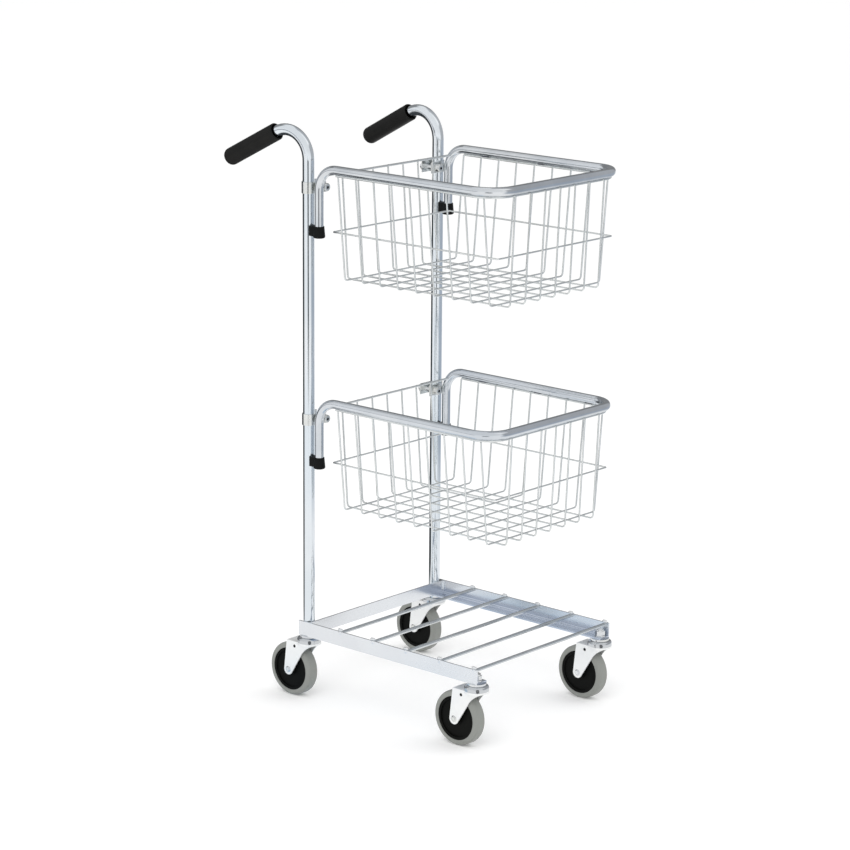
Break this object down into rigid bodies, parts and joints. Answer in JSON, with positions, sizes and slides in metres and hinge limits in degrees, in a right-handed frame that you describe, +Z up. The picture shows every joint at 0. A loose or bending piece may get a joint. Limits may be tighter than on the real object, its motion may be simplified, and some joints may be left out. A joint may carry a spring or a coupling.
{
  "type": "basket trolley",
  "caption": "Push trolley with an angle-steel base on swivel casters, bent tube posts with rubber handle grips, and wire baskets clamped to the posts at adjustable height.",
  "frame": {"origin": "on the floor, at the middle of the trolley's bounding box in plan", "axes": "+Z up, -Y towards the open front of the base, +Y towards the handles, +X to the right as seen from the front"},
  "size_m": [0.4012, 0.6284, 1.0575],
  "materials": {
    "rail_zinc": "bright zinc plate, faint blue and violet tints",
    "rod_zinc": "bright zinc plate on round bar",
    "post_zinc": "bright zinc plate on drawn tube",
    "rim_zinc": "bright zinc plate on drawn tube",
    "wire_zinc": "zinc plate on welded wire",
    "strap_zinc": "zinc plate on strip",
    "fork_zinc": "pale satin zinc plate on pressed sheet",
    "fastener_zinc": "zinc plate",
    "grip_rubber": "satin black",
    "cap_rubber": "satin black",
    "wheel_plastic": "satin black moulded plastic",
    "tyre_rubber": "matt grey rubber"
  },
  "bodies": {
    "frame": {"base_rail_left": "rail_zinc", "base_rail_right": "rail_zinc", "caster_front_left_head": "fastener_zinc", "caster_front_right_head": "fastener_zinc", "caster_nuts": "fastener_zinc", "caster_rear_left_head": "fastener_zinc", "caster_rear_right_head": "fastener_zinc", "deck_rod_1": "rod_zinc", "deck_rod_2": "rod_zinc", "deck_rod_3": "rod_zinc", "deck_rod_4": "rod_zinc", "deck_rod_5": "rod_zinc", "grip_left": "grip_rubber", "grip_right": "grip_rubber", "post_left": "post_zinc", "post_right": "post_zinc", "rear_bar": "rail_zinc"},
    "upper_basket": {"upper_clamp_bolts": "fastener_zinc", "upper_clamp_nuts": "fastener_zinc", "upper_cross_wires": "wire_zinc", "upper_end_cap_left": "cap_rubber", "upper_end_cap_right": "cap_rubber", "upper_long_wires": "wire_zinc", "upper_lugs": "strap_zinc", "upper_mid_ring": "wire_zinc", "upper_rear_rod": "wire_zinc", "upper_rim_tube": "rim_zinc", "upper_rim_wire": "wire_zinc", "upper_strap_left": "strap_zinc", "upper_strap_right": "strap_zinc"},
    "lower_basket": {"lower_clamp_bolts": "fastener_zinc", "lower_clamp_nuts": "fastener_zinc", "lower_cross_wires": "wire_zinc", "lower_end_cap_left": "cap_rubber", "lower_end_cap_right": "cap_rubber", "lower_long_wires": "wire_zinc", "lower_lugs": "strap_zinc", "lower_mid_ring": "wire_zinc", "lower_rear_rod": "wire_zinc", "lower_rim_tube": "rim_zinc", "lower_rim_wire": "wire_zinc", "lower_strap_left": "strap_zinc", "lower_strap_right": "strap_zinc"},
    "swivel_front_left": {"caster_front_left_fork": "fork_zinc", "caster_front_left_axle": "fastener_zinc"},
    "wheel_front_left": {"caster_front_left_wheel": "wheel_plastic", "caster_front_left_tyre": "tyre_rubber"},
    "swivel_front_right": {"caster_front_right_fork": "fork_zinc", "caster_front_right_axle": "fastener_zinc"},
    "wheel_front_right": {"caster_front_right_wheel": "wheel_plastic", "caster_front_right_tyre": "tyre_rubber"},
    "swivel_rear_left": {"caster_rear_left_fork": "fork_zinc", "caster_rear_left_axle": "fastener_zinc"},
    "wheel_rear_left": {"caster_rear_left_wheel": "wheel_plastic", "caster_rear_left_tyre": "tyre_rubber"},
    "swivel_rear_right": {"caster_rear_right_fork": "fork_zinc", "caster_rear_right_axle": "fastener_zinc"},
    "wheel_rear_right": {"caster_rear_right_wheel": "wheel_plastic", "caster_rear_right_tyre": "tyre_rubber"}
  },
  "joints": [
    {"name": "upper_basket_height", "type": "slide", "parent": "frame", "child": "upper_basket", "axis": [0, 0, 1], "range_m": [-0.1, 0.03]},
    {"name": "lower_basket_height", "type": "slide", "parent": "frame", "child": "lower_basket", "axis": [0, 0, 1], "range_m": [-0.2, 0.1]},
    {"name": "swivel_front_left_turn", "type": "hinge", "parent": "frame", "child": "swivel_front_left", "pos_m": [-0.1734, -0.28097, 0.11], "axis": [0, 0, 1], "continuous": true},
    {"name": "wheel_front_left_roll", "type": "hinge", "parent": "swivel_front_left", "child": "wheel_front_left", "pos_m": [-0.1734, -0.24297, 0.05], "axis": [1, 0, 0], "continuous": true},
    {"name": "swivel_front_right_turn", "type": "hinge", "parent": "frame", "child": "swivel_front_right", "pos_m": [0.1734, -0.28097, 0.11], "axis": [0, 0, 1], "continuous": true},
    {"name": "wheel_front_right_roll", "type": "hinge", "parent": "swivel_front_right", "child": "wheel_front_right", "pos_m": [0.1734, -0.24297, 0.05], "axis": [1, 0, 0], "continuous": true},
    {"name": "swivel_rear_left_turn", "type": "hinge", "parent": "frame", "child": "swivel_rear_left", "pos_m": [-0.1734, 0.12263, 0.11], "axis": [0, 0, 1], "continuous": true},
    {"name": "wheel_rear_left_roll", "type": "hinge", "parent": "swivel_rear_left", "child": "wheel_rear_left", "pos_m": [-0.1734, 0.16063, 0.05], "axis": [1, 0, 0], "continuous": true},
    {"name": "swivel_rear_right_turn", "type": "hinge", "parent": "frame", "child": "swivel_rear_right", "pos_m": [0.1734, 0.12263, 0.11], "axis": [0, 0, 1], "continuous": true},
    {"name": "wheel_rear_right_roll", "type": "hinge", "parent": "swivel_rear_right", "child": "wheel_rear_right", "pos_m": [0.1734, 0.16063, 0.05], "axis": [1, 0, 0], "continuous": true}
  ]
}
